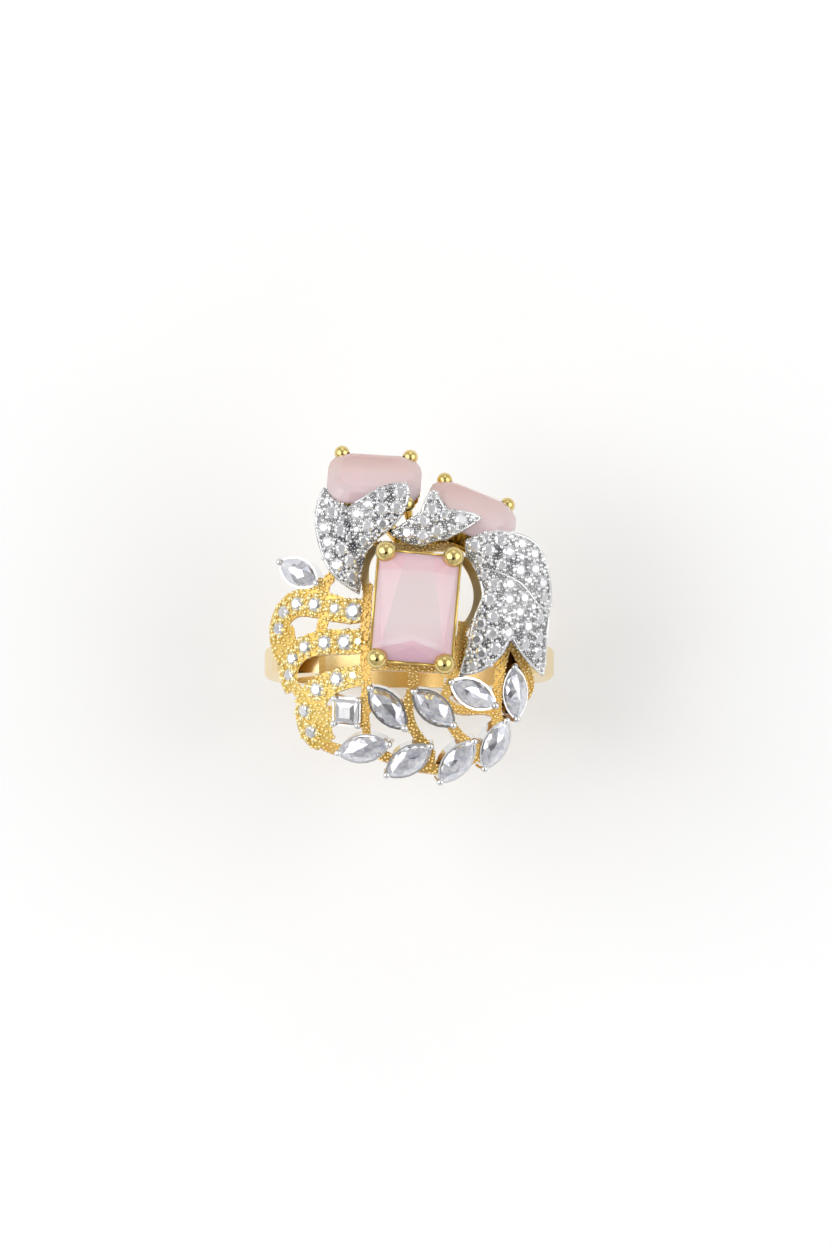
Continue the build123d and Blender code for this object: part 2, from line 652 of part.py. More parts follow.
SHELLS = {
    "left_column": (ribbon(LEFT_COLUMN, [COLUMN_WIDTH] * len(LEFT_COLUMN)), HEAD_SHELL),
    "right_column": (ribbon(RIGHT_COLUMN, [COLUMN_WIDTH] * len(RIGHT_COLUMN)), HEAD_SHELL),
    "cross_bar": (stem(CROSS_BAR, CROSS_BAR_WIDTH), HEAD_SHELL),
    "top_bar": (stem(TOP_BAR, TOP_BAR_WIDTH), HEAD_SHELL),
    "left_loop_wire": (stem(LEFT_LOOP, LOOP_WIDTH), HEAD_SHELL),
    "right_loop_wire": (stem(RIGHT_LOOP, LOOP_WIDTH), HEAD_SHELL),
    "scroll_ties": (stems(SCROLL_TIES), HEAD_SHELL),
    "leaf_branch": (stems(LEAF_BRANCH), HEAD_SHELL),
    "vine_frame": (vine_face, VINE_SHELL),
}

# ---- band, gallery and the rods under the petals --------------------------------------------
across_finger = Plane.XZ
top_quarter = Polygon((0, 0), (SPAN, SPAN), (-SPAN, SPAN), align=None)
band_face = Pos(0, BAND_OUTER_LIFT) * Circle(BAND_OUTER_RADIUS) - top_quarter
for side in (-1, 1):
    inner = [(8.4, 3.0), (SHOULDER_X, 6.75), (SHOULDER_X, 12.5)]
    outer = [(8.2, 12.5), (9.6, 8.5), (10.3, 6.0), (10.7, 3.0)]
    band_face += Polygon(*[(side * x, z) for x, z in inner + outer], align=None)
band_face -= Circle(FINGER_RADIUS)
band = extrude(across_finger * band_face, BAND_WIDTH / 2, both=True)


def is_outer_edge(edge):
    """Whether an edge runs along the band's side faces, round its outside."""
    middle = edge.position_at(0.5)
    on_side_face = abs(abs(middle.Y) - BAND_WIDTH / 2) < 0.001
    outside = math.hypot(middle.X, middle.Z) > FINGER_RADIUS + 0.5
    return on_side_face and outside and (middle.Z < 0 or abs(middle.X) > 8.5)


band = fillet([edge for edge in band.edges() if is_outer_edge(edge)], BAND_EDGE)
upper_part = Pos(0, 0, SPAN / 2 + 5) * Box(SPAN, SPAN, SPAN)
shank = band - (upper_part - UNDER_HEAD)

strap = (Circle(FINGER_RADIUS + BRIDGE_WALL) - Circle(FINGER_RADIUS)) & top_quarter
web = Pos(0, 10.5) * Rectangle(2 * SHOULDER_X, 4.0) - Circle(FINGER_RADIUS + BRIDGE_WALL / 2)
for x in (-5.2, -3.3, -1.2, 1.2, 3.3, 5.2):
    web -= Pos(x, math.sqrt(WEB_HOLE_ARC**2 - x**2)) * Circle(WEB_HOLE)
across_bridge = Pos(0, BRIDGE_Y, 0)
gallery = across_bridge * extrude(across_finger * strap, BRIDGE_WIDTH / 2, both=True)
gallery += across_bridge * extrude(across_finger * web, WEB_WIDTH / 2, both=True) & UNDER_HEAD

upper_left_foot = tuple(upper_left_plane.from_local_coords((0, -0.9, -1.45)))
upper_right_foot = tuple(upper_right_plane.from_local_coords((-0.6, -0.9, -1.45)))
SPINE_FORK = (0.5, 7.3, 10.4)
LEFT_ELBOW = (-1.9, 10.0, 10.6)
RIGHT_ELBOW = (2.6, 8.8, 10.6)
spine = rod([(0.5, 1.3, 10.45), SPINE_FORK, LEFT_ELBOW, upper_left_foot], SPINE_RADIUS)
spine += rod([SPINE_FORK, RIGHT_ELBOW, upper_right_foot], SPINE_RADIUS)
STRUTS = [
    [LEFT_ELBOW, (-4.9, 8.4, 12.9)],
    [(-0.9, 8.9, 10.5), (-1.9, 9.6, 13.6)],
    [(1.7, 8.2, 10.5), (2.2, 9.2, 13.6)],
    [RIGHT_ELBOW, (6.6, 6.6, 13.2)],
    [(7.3, 0.9, 9.0), (7.2, 2.3, 12.75)],
]

# ---- fit the pieces together -------------------------------------------------------------------
basket, _claws = centre_setting()
bud_basket, _claws = bud_setting()
cup, gem = marquise_setting(), marquise(*MARQUISE_SIZE)
SETTINGS = {
    "centre_basket": centre_plane * basket,
    "upper_left_basket": upper_left_plane * bud_basket,
    "upper_right_basket": upper_right_plane * bud_basket,
    "square_setting": square_place * square_setting(SQUARE["side"]),
}
PIECES = {
    "centre_stone": [centre_stone],
    "upper_left_stone": [upper_left_stone],
    "upper_right_stone": [upper_right_stone],
    "square_stone": [square_place * square_cut],
}
for i, place in enumerate(marquise_places, 1):
    PIECES[f"marquise_stone_{i}"] = [place * gem]
    SETTINGS[f"marquise_setting_{i}"] = place * cup
PIECES["upper_scroll_stones"] = upper_scroll_gems
PIECES["middle_scroll_stones"] = middle_scroll_gems
PIECES["lower_scroll_stones"] = lower_scroll_gems
PETALS = {
    "left_outer": left_outer,
    "left_inner": left_inner,
    "middle": middle,
    "right_upper": right_upper,
    "right_lower": right_lower,
}
for name, petal in PETALS.items():
    PIECES[f"{name}_pave_stones"] = petal.stones
PIECES["centre_prongs"] = centre_claws
PIECES["upper_left_prongs"] = upper_left_claws
PIECES["upper_right_prongs"] = upper_right_claws
PIECES.update({f"{name}_petal": [petal.blank] for name, petal in PETALS.items()})
PIECES.update({name: [shape] for name, shape in SETTINGS.items()})
PIECES["shank"] = [shank]
PIECES["upper_scroll"] = [upper_scroll]
PIECES["middle_scroll"] = [middle_scroll]
PIECES["lower_scroll"] = [lower_scroll]
PIECES.update({name: [plate(face, shell)] for name, (face, shell) in SHELLS.items()})
PIECES["gallery_bridge"] = [gallery]
PIECES["upper_spine"] = [spine]
PIECES["petal_struts"] = [rod(points, STRUT_RADIUS) for points in STRUTS]

DRILLED = {f"{name}_petal": petal.plate.solids() for name, petal in PETALS.items()}

# each piece gives way to those before it, where their spaces meet
fitted = []
for name, shapes in PIECES.items():
    if name in DRILLED:
        own = DRILLED[name]
        fitted += with_spans(shapes)
    else:
        least = SCRAP if name in SHELLS or name in SETTINGS else CRUMB
        own = [solid for shape in shapes for solid in cut_solids(shape, fitted, least)]
        fitted += with_spans(own)
    export_step(Compound(children=own), f"parts/{name}.step")
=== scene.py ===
import json
import math
import random

import bmesh
import bpy
import numpy as np
from mathutils import Matrix, Vector
from mathutils.bvhtree import BVHTree


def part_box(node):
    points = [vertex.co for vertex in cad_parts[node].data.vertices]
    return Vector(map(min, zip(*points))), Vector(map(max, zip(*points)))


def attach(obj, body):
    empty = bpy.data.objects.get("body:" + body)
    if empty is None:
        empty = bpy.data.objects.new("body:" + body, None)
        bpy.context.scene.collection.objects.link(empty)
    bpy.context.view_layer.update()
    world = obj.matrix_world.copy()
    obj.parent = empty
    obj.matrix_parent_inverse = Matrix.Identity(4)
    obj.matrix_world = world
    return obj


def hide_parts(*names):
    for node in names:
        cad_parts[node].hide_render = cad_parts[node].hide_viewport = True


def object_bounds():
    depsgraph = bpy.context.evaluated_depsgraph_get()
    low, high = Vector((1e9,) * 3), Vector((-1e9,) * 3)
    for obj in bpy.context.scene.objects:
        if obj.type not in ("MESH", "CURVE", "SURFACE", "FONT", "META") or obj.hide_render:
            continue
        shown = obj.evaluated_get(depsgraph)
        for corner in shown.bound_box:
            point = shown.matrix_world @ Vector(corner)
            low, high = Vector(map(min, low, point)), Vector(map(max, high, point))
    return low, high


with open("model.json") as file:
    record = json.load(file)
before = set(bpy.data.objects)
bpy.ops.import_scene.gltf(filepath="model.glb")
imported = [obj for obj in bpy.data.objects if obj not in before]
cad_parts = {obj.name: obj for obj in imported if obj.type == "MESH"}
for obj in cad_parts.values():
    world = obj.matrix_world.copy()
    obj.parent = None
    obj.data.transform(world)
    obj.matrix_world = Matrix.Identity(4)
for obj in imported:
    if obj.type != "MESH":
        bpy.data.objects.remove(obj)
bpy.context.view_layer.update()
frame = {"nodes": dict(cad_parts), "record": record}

MM = 0.001
ABOVE = 30.0  # a height above the whole ring
NODES = frame["nodes"]
random.seed(11)

# Places and sizes in millimetres, and turns in degrees
CENTRE = (0.45, 3.2, 14.9)
CENTRE_TURN = -4.8
CENTRE_SIZE = (5.9, 8.0)
CENTRE_CORNER = 0.35
BUD_SIZE = (7.0, 5.0)
UPPER_LEFT = dict(middle=(-2.6, 13.0, 11.9), heading=87.0, lean=38.0, turn=-3.5)
UPPER_RIGHT = dict(middle=(4.65, 10.5, 11.5), heading=60.0, lean=48.0, turn=-21.0)
MARQUISE_SIZE = (3.8, 1.95)
SQUARE_HALF, SQUARE_TURN = 0.95, -6.0

# The centre bezel's wires: their gaps from the stone's sides and ends, height and radius of each,
# how far they stop before the corners, and how much lower the end wires lie
BEZEL_GAPS = (0.13, 0.1)
BEZEL_WIRES = ((-0.02, 0.075), (-0.32, 0.085))
BEZEL_SHORT, BEZEL_DROP, WIRE_SIDES = 0.3, 0.12, 10

# The upper stones: corner radius, crown, depth and table, then the rails under each one, as
# growth past the stone's size, top below the girdle, height and wall
BUD_CUT = (1.65, 0.9, 1.45, 0.6)
BUD_RAILS = [(-0.06, -0.1, 0.5, 0.4), (-0.5, -0.55, 0.7, 0.45), (-1.1, -1.2, 0.5, 0.55)]

# Radii of bead prongs, and radius and spacing of the grains scattered between them. The middle
# of each one is RAISED of its radius above its plate, and no grain stands where the height of
# the plate's normal is under STEEPEST.
RAISED, STEEPEST = 0.25, 0.3
BEAD_MESH, GRAIN_MESH = (7, 10), (5, 7)  # rings and sides
PETAL_BEAD, PETAL_GRAIN = 0.17, (0.075, 0.17)
SCROLL_BEAD, SCROLL_GRAIN = 0.24, (0.15, 0.31)
STEM_GRAIN = (0.12, 0.26)
# Tries for each grain's space, the least distance between two as a share of their spacing, and
# the smallest and largest grain as shares of their radius
GRAIN_TRIES, GRAIN_LEAST, GRAIN_SIZES = 5, 0.8, (0.7, 1.15)
BEAD_REACH = 0.5  # the furthest that a bead may be from its stone's girdle
BEAD_CLEAR = 0.2  # how far the grains stay from a bead's middle

# Small round stones between a petal's main ones
FILLER_RADII = (0.34, 0.28, 0.23)
FILLER_TRIES, FILLER_GAP, FILLER_STEEPEST, FILLER_LIFT = 900, 0.05, 0.4, 0.03

RIM_RADIUS = 0.1  # the wire round the petals

# Seats at the inner ends of two scrolls: stone radius, lift and turn, bead radius, how far out
# a bead stands and where the first one does, then each seat's scroll and place
SEAT_RADIUS, SEAT_LIFT, SEAT_TURN = 0.42, 0.08, 20.0
SEAT_BEAD, SEAT_BEAD_AT, SEAT_BEAD_FIRST = 0.19, 0.52, 35
SEATS = [("middle_scroll", -3.75, 0.9), ("lower_scroll", -4.15, -1.6)]


# ---- mesh helpers ---------------------------------------------------------------------------
class Builder:
    """Collects vertices and faces, in millimetres, for one piece."""

    def __init__(self):
        self.verts, self.faces, self.smooth = [], [], []

    def add(self, verts, faces, smooth=False):
        start = len(self.verts)
        self.verts += [tuple(v) for v in verts]
        self.faces += [tuple(start + i for i in face) for face in faces]
        self.smooth += [smooth] * len(faces)

    def piece(self, name, material, slot, replaces=()):
        """Makes one object, in metres, of all that was added."""
        mesh = bpy.data.meshes.new(name)
        mesh.from_pydata([Vector(v) * MM for v in self.verts], [], self.faces)
        mesh.polygons.foreach_set("use_smooth", self.smooth)
        mesh.materials.append(material)
        mesh.update()
        obj = bpy.data.objects.new(name, mesh)
        bpy.context.scene.collection.objects.link(obj)
        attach(obj, "root")
        if replaces:
            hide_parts(*replaces)


def ball(builder, centre, radius, rings, sides):
    """A sphere."""
    centre = Vector(centre)
    verts = [centre + Vector((0, 0, radius))]
    for i in range(1, rings):
        lat = math.pi * i / rings
        flat = radius * math.sin(lat)
        for j in range(sides):
            lon = 2 * math.pi * j / sides
            out = Vector((flat * math.cos(lon), flat * math.sin(lon), radius * math.cos(lat)))
            verts.append(centre + out)
    verts.append(centre - Vector((0, 0, radius)))
    faces = [(0, 1 + j, 1 + (j + 1) % sides) for j in range(sides)]
    for i in range(rings - 2):
        a, b = 1 + i * sides, 1 + (i + 1) * sides
        faces += [(a + j, b + j, b + (j + 1) % sides, a + (j + 1) % sides) for j in range(sides)]
    last, base = len(verts) - 1, 1 + (rings - 2) * sides
    faces += [(last, base + (j + 1) % sides, base + j) for j in range(sides)]
    builder.add(verts, faces, True)


def tube(builder, points, radius, sides=8):
    """A round wire through points, with closed ends."""
    points = [Vector(p) for p in points]
    count = len(points)
    rings, normal = [], None
    for i, p in enumerate(points):
        along = (points[min(i + 1, count - 1)] - points[max(i - 1, 0)]).normalized()
        if normal is None:
            normal = along.orthogonal().normalized()
        normal = (normal - along * normal.dot(along)).normalized()
        side = along.cross(normal)
        turns = [2 * math.pi * k / sides for k in range(sides)]
        rings.append([p + (normal * math.cos(t) + side * math.sin(t)) * radius for t in turns])
    verts = [v for ring in rings for v in ring]
    faces = []
    for i in range(count - 1):
        a, b = i * sides, (i + 1) * sides
        faces += [(a + k, a + (k + 1) % sides, b + (k + 1) % sides, b + k) for k in range(sides)]
    faces.append(tuple(reversed(range(sides))))
    faces.append(tuple((count - 1) * sides + k for k in range(sides)))
    builder.add(verts, faces, True)


def smooth_path(points, per):
    """Catmull-Rom points through a list of points, per of them to a span."""
    points = [Vector(p) for p in points]
    count = len(points)
    path = []
    for i in range(count - 1):
        p = [points[max(i - 1, 0)], points[i], points[i + 1], points[min(i + 2, count - 1)]]
        for k in range(per):
            t = k / per
            linear = (p[2] - p[0]) * t
            square = (2 * p[0] - 5 * p[1] + 4 * p[2] - p[3]) * t * t
            cubic = (3 * p[1] - p[0] - 3 * p[2] + p[3]) * t**3
            path.append(0.5 * (2 * p[1] + linear + square + cubic))
    path.append(points[-1])
    return path


def rings_mesh(builder, rings, place, caps=True):
    """Flat facets between rings of points with equal counts, in a placing matrix."""
    count = len(rings[0])
    verts = [place @ Vector(v) for ring in rings for v in ring]
    faces = []
    for i in range(len(rings) - 1):
        a, b = i * count, (i + 1) * count
        faces += [(a + k, b + k, b + (k + 1) % count, a + (k + 1) % count) for k in range(count)]
    if caps:
        faces.append(tuple(range(count)))
        last = (len(rings) - 1) * count
        faces.append(tuple(last + k for k in reversed(range(count))))
    builder.add(verts, faces)


def faceted_hull(builder, points, place):
    """The convex hull of points, in a placing matrix, with coplanar facets merged."""
    bm = bmesh.new()
    for p in points:
        bm.verts.new(p)
    bmesh.ops.convex_hull(bm, input=bm.verts)
    loose = [v for v in bm.verts if not v.link_faces]
    bmesh.ops.delete(bm, geom=loose, context="VERTS")
    bmesh.ops.dissolve_limit(bm, angle_limit=0.02, verts=bm.verts, edges=bm.edges)
    bm.verts.index_update()
    bmesh.ops.recalc_face_normals(bm, faces=bm.faces)
    verts = [place @ v.co for v in bm.verts]
    faces = [[v.index for v in f.verts] for f in bm.faces]
    bm.free()
    builder.add(verts, faces)


def frame_matrix(middle, normal, turn_degrees):
    """A matrix at middle whose Z is normal and whose X heads turn_degrees from +X from above."""
    normal = Vector(normal).normalized()
    t = math.radians(turn_degrees)
    flat = Vector((math.cos(t), math.sin(t), 0))
    if abs(normal.z) > 1e-6:
        flat.z = -(flat.x * normal.x + flat.y * normal.y) / normal.z
    x_axis = flat.normalized()
    y_axis = normal.cross(x_axis)
    rows = Matrix((x_axis, y_axis, normal)).transposed().to_4x4()
    return Matrix.Translation(Vector(middle)) @ rows


def bud_matrix(middle, heading, lean, turn):
    """The place of an upper stone, which leans by lean degrees from +Z towards heading."""
    lean, heading = math.radians(lean), math.radians(heading)
    flat = math.sin(lean)
    normal = (flat * math.cos(heading), flat * math.sin(heading), math.cos(lean))
    return frame_matrix(middle, normal, turn)


# ---- reading the CAD nodes ------------------------------------------------------------------
def node_points(node):
    """A node's vertices, in millimetres."""
    mesh = NODES[node].data
    co = np.zeros(len(mesh.vertices) * 3)
    mesh.vertices.foreach_get("co", co)
    return co.reshape(-1, 3) / MM


def loose_parts(node):
    """The vertices of each separate solid of a node, in millimetres."""
    mesh = NODES[node].data
    points = node_points(node)
    keys = {}
    ids = [keys.setdefault(tuple(np.round(p, 4)), len(keys)) for p in points]
    parent = list(range(len(keys)))

    def root(i):
        while parent[i] != i:
            parent[i] = parent[parent[i]]
            i = parent[i]
        return i

    for face in mesh.polygons:
        corners = [ids[v] for v in face.vertices]
        for corner in corners[1:]:
            parent[root(corner)] = root(corners[0])
    groups = {}
    for key, i in keys.items():
        groups.setdefault(root(i), []).append(key)
    return [np.array(g) for g in groups.values()]


def surface(name):
    """A search tree over a node's faces, in millimetres."""
    mesh = NODES[name].data
    verts = [tuple(v.co / MM) for v in mesh.vertices]
    return BVHTree.FromPolygons(verts, [list(p.vertices) for p in mesh.polygons])


def drop(tree, x, y):
    """Where a line straight down at x, y first meets a surface: the point and its normal."""
    spot, normal, *_ = tree.ray_cast(Vector((x, y, ABOVE)), Vector((0, 0, -1)))
    if spot is None:
        return None, None
    return spot, normal if normal.z > 0 else -normal


# ---- materials ------------------------------------------------------------------------------
def new_material(name):
    """A new material, its node tree and its shader."""
    material = bpy.data.materials.new(name)
    material.use_nodes = True
    tree = material.node_tree
    return material, tree, tree.nodes["Principled BSDF"]


def noise(tree, scale, detail=4.0, rough=0.55):
    """Noise fixed to the object, scale blots to a metre."""
    coord = tree.nodes.new("ShaderNodeTexCoord")
    node = tree.nodes.new("ShaderNodeTexNoise")
    node.inputs["Scale"].default_value = scale
    node.inputs["Detail"].default_value = detail
    node.inputs["Roughness"].default_value = rough
    tree.links.new(coord.outputs["Object"], node.inputs["Vector"])
    return node


def ramp(tree, source, stops):
    """Colours for the values of source, from stops of position and colour."""
    node = tree.nodes.new("ShaderNodeValToRGB")
    node.color_ramp.elements[0].position = stops[0][0]
    node.color_ramp.elements[0].color = (*stops[0][1], 1)
    node.color_ramp.elements[1].position = stops[-1][0]
    node.color_ramp.elements[1].color = (*stops[-1][1], 1)
    for position, colour in stops[1:-1]:
        node.color_ramp.elements.new(position).color = (*colour, 1)
    tree.links.new(source, node.inputs["Fac"])
    return node


def spread(tree, source, low, high):
    """The values of source, 0 to 1, spread over low to high."""
    node = tree.nodes.new("ShaderNodeMapRange")
    node.inputs["To Min"].default_value = low
    node.inputs["To Max"].default_value = high
    tree.links.new(source, node.inputs["Value"])
    return node


def bump(tree, source, strength, distance, shader):
    """Fine relief on a shader's surface, distance metres deep."""
    node = tree.nodes.new("ShaderNodeBump")
    node.inputs["Strength"].default_value = strength
    node.inputs["Distance"].default_value = distance
    tree.links.new(source, node.inputs["Height"])
    tree.links.new(node.outputs["Normal"], shader.inputs["Normal"])


def multiply(tree, first, second):
    """The product of two colours."""
    mixed = tree.nodes.new("ShaderNodeMix")
    mixed.data_type, mixed.blend_type = "RGBA", "MULTIPLY"
    mixed.inputs[0].default_value = 1.0
    tree.links.new(first, mixed.inputs[6])
    tree.links.new(second, mixed.inputs[7])
    return mixed.outputs[2]


def paint_light_shade_on_walls(tree, source, shade):
    """Painted light and shade: the colour of source, multiplied by shade where the surface stands
    steeply, so steep walls come out darker or lighter than flat parts.
    """
    geometry = tree.nodes.new("ShaderNodeNewGeometry")
    split = tree.nodes.new("ShaderNodeSeparateXYZ")
    tree.links.new(geometry.outputs["Normal"], split.inputs["Vector"])
    steep = ramp(tree, split.outputs["Z"], [(0.3, shade), (0.62, (1.0, 1.0, 1.0))])
    return multiply(tree, source, steep.outputs["Color"])


def metal(name, dark, light, rough, grain_scale, bump_strength, bump_mm, wall=None):
    """A metal whose colour, roughness and surface all vary finely, with painted shade or light on its
    steep walls when wall is given.
    """
    material, tree, shader = new_material(name)
    shader.inputs["Metallic"].default_value = 1.0
    broad = noise(tree, 260.0, 5.0)
    fine = noise(tree, grain_scale, 3.0)
    colours = ramp(tree, broad.outputs["Fac"], [(0.3, dark), (0.7, light)])
    colour = paint_light_shade_on_walls(tree, colours.outputs["Color"], wall) if wall else colours.outputs["Color"]
    tree.links.new(colour, shader.inputs["Base Color"])
    roughness = spread(tree, broad.outputs["Fac"], *rough)
    tree.links.new(roughness.outputs["Result"], shader.inputs["Roughness"])
    bump(tree, fine.outputs["Fac"], bump_strength, bump_mm * MM, shader)
    return material


def stone(name, low, high, rough, transmission, ior, scatter, blot_scale, metallic=0.0):
    """A polished stone whose colour and roughness wander in soft blots: clouds in the rose quartz,
    painted reflections in the long crystal.
    """
    material, tree, shader = new_material(name)
    colour_blots = noise(tree, blot_scale, 6.0, 0.6)
    colours = ramp(tree, colour_blots.outputs["Fac"], [(0.3, low), (0.7, high)])
    tree.links.new(colours.outputs["Color"], shader.inputs["Base Color"])
    roughness = spread(tree, colour_blots.outputs["Fac"], *rough)
    tree.links.new(roughness.outputs["Result"], shader.inputs["Roughness"])
    shader.inputs["Metallic"].default_value = metallic
    shader.inputs["Transmission Weight"].default_value = transmission
    shader.inputs["IOR"].default_value = ior
    shader.inputs["Subsurface Weight"].default_value = scatter
    shader.inputs["Subsurface Radius"].default_value = (1.2, 0.7, 0.7)
    shader.inputs["Subsurface Scale"].default_value = 1.0 * MM
    return material


def banded_quartz(name, stops, low_y, high_y):
    """Rose quartz whose pink deepens towards both ends of the stone, along Y in millimetres."""
    material = stone(name, (0.9, 0.7, 0.7), (0.9, 0.7, 0.7), (0.04, 0.10), 0.22, 1.54, 0.35, 320.0)
    tree = material.node_tree
    shader = tree.nodes["Principled BSDF"]
    coord = tree.nodes.new("ShaderNodeTexCoord")
    split = tree.nodes.new("ShaderNodeSeparateXYZ")
    tree.links.new(coord.outputs["Object"], split.inputs["Vector"])
    along = tree.nodes.new("ShaderNodeMapRange")
    along.inputs["From Min"].default_value = low_y * MM
    along.inputs["From Max"].default_value = high_y * MM
    tree.links.new(split.outputs["Y"], along.inputs["Value"])
    # the bands wander a little with the clouds
    wander = tree.nodes.new("ShaderNodeMath")
    wander.operation = "MULTIPLY_ADD"
    colour_blots = noise(tree, 260.0, 5.0)
    tree.links.new(colour_blots.outputs["Fac"], wander.inputs[0])
    wander.inputs[1].default_value = 0.12
    tree.links.new(along.outputs["Result"], wander.inputs[2])
    colours = ramp(tree, wander.outputs["Value"], stops)
    tree.links.new(colours.outputs["Color"], shader.inputs["Base Color"])
    return material


PAINTED_WALL_SHADE = (0.78, 0.62, 0.42)  # painted shade: the colour of steep walls of grained gold is multiplied by this, darker where shade falls on them
MATERIALS = {
    "polished_gold": metal(
        "polished_gold", (0.83, 0.60, 0.17), (0.93, 0.72, 0.25), (0.08, 0.17), 2500, 0.10, 0.02
    ),
    # painted shade: grained gold is darker than the other golds, for the shade in the gaps between its
    # grains
    "grained_gold": metal(
        "grained_gold", (0.56, 0.33, 0.08), (0.80, 0.53, 0.17), (0.28, 0.44), 7000, 0.6, 0.06, PAINTED_WALL_SHADE
    ),
    "satin_gold": metal(
        "satin_gold", (0.88, 0.66, 0.30), (0.95, 0.77, 0.42), (0.20, 0.30), 4500, 0.15, 0.02
    ),
    "white_rhodium": metal(
        "white_rhodium", (0.72, 0.72, 0.73), (0.90, 0.90, 0.90), (0.10, 0.22), 4000, 0.2, 0.03
    ),
    "rose_quartz": stone(
        "rose_quartz", (0.88, 0.62, 0.62), (0.93, 0.73, 0.72), (0.05, 0.12), 0.25, 1.54, 0.35, 320.0
    ),
    "clear_crystal": stone(
        "clear_crystal", (0.80, 0.81, 0.85), (0.97, 0.96, 0.97), (0.0, 0.04), 0.45, 2.1, 0.0, 2600.0, 0.5
    ),
}
# Materials of single pieces, which share a slot with the plainer ones above; several carry painted light
# or shade
# painted reflections: the marquises' colour wanders in blots from dark blue-grey to near white, for the
# dark and bright glints of their facets
LONG_CRYSTAL_PAINTED_GLINTS = stone(
    "long_crystal_painted_glints", (0.52, 0.55, 0.66), (0.99, 0.97, 0.97), (0.0, 0.02), 0.35, 2.1, 0.0, 2400.0, 0.66
)
# painted shade and light: the petal plates are near-black rhodium, for the shade in the gaps between
# their beads, grains and stones, and their steep walls are painted lighter
RHODIUM_PAINTED_SHADE = metal(
    "rhodium_painted_shade", (0.10, 0.10, 0.11), (0.42, 0.42, 0.42), (0.25, 0.45), 6000, 0.7, 0.06, (1.7, 1.7, 1.7)
)
# painted shade: the scrolls' gold is darker than the other golds, for the shade in the gaps between their
# grains and beads; steep walls are darker still
SCROLL_GOLD_PAINTED_SHADE = metal(
    "scroll_gold", (0.58, 0.38, 0.09), (0.84, 0.63, 0.21), (0.24, 0.40), 6500, 0.7, 0.08, PAINTED_WALL_SHADE
)
PRONG_GOLD = metal(
    "prong_gold", (0.71, 0.54, 0.20), (0.80, 0.64, 0.28), (0.06, 0.12), 2500, 0.10, 0.02
)
LOOP_GOLD = metal(
    "loop_gold", (0.80, 0.60, 0.30), (0.92, 0.74, 0.44), (0.42, 0.55), 4500, 0.3, 0.03
)
# painted light: the grains on the vine, columns and bars are paler than the gold they sit on, for the
# light that catches them
VINE_GRAIN_PAINTED_LIGHT = metal(
    "vine_grain", (0.92, 0.70, 0.30), (1.0, 0.84, 0.46), (0.10, 0.22), 3000, 0.2, 0.03
)
# painted light: the beads, grains and seats on the scrolls are paler than the gold under them, for the
# light that catches them
GRAIN_GOLD_PAINTED_LIGHT = metal(
    "grain_gold_painted_light", (0.93, 0.74, 0.32), (1.0, 0.88, 0.52), (0.10, 0.20), 3000, 0.2, 0.03
)


def edge_mask(tree, vector, slope_x, slope_y, start, soft):
    """0 below a line across the stone and 1 above it: slope_x |x| + slope_y y > start, in mm."""
    split = tree.nodes.new("ShaderNodeSeparateXYZ")
    tree.links.new(vector, split.inputs["Vector"])
    size = tree.nodes.new("ShaderNodeMath")
    size.operation = "ABSOLUTE"
    tree.links.new(split.outputs["X"], size.inputs[0])
    across = tree.nodes.new("ShaderNodeMath")
    across.operation = "MULTIPLY"
    tree.links.new(size.outputs["Value"], across.inputs[0])
    across.inputs[1].default_value = slope_x
    total = tree.nodes.new("ShaderNodeMath")
    total.operation = "MULTIPLY_ADD"
    tree.links.new(split.outputs["Y"], total.inputs[0])
    total.inputs[1].default_value = slope_y
    tree.links.new(across.outputs["Value"], total.inputs[2])
    step = tree.nodes.new("ShaderNodeMapRange")
    step.inputs["From Min"].default_value = (start - soft) * MM
    step.inputs["From Max"].default_value = (start + soft) * MM
    tree.links.new(total.outputs["Value"], step.inputs["Value"])
    return step.outputs["Result"]


def paint_facet_light(material, middle, turn, facets):
    """Painted light and shade: tints, some lighter than white, laid where the facets seen through a stone
    catch light or shade; each is edge_mask's numbers and a colour.
    """
    tree = material.node_tree
    shader = tree.nodes["Principled BSDF"]
    colour = shader.inputs["Base Color"].links[0].from_socket
    coord = tree.nodes.new("ShaderNodeTexCoord")
    own = tree.nodes.new("ShaderNodeMapping")
    own.vector_type = "TEXTURE"
    own.inputs["Location"].default_value = Vector(middle) * MM
    own.inputs["Rotation"].default_value = (0, 0, math.radians(turn))
    tree.links.new(coord.outputs["Object"], own.inputs["Vector"])
    for slope_x, slope_y, start, soft, tint in facets:
        mask = edge_mask(tree, own.outputs["Vector"], slope_x, slope_y, start, soft)
        shade = ramp(tree, mask, [(0.0, (1.0, 1.0, 1.0)), (1.0, tint)])
        colour = multiply(tree, colour, shade.outputs["Color"])
    tree.links.new(colour, shader.inputs["Base Color"])


CENTRE_QUARTZ = banded_quartz(
    "centre_quartz",
    [
        (0.0, (0.86, 0.64, 0.70)),
        (0.25, (0.89, 0.71, 0.74)),
        (0.45, (0.90, 0.78, 0.79)),
        (0.75, (0.89, 0.77, 0.78)),
        (1.0, (0.88, 0.70, 0.73)),
    ],
    -1.0,
    7.2,
)
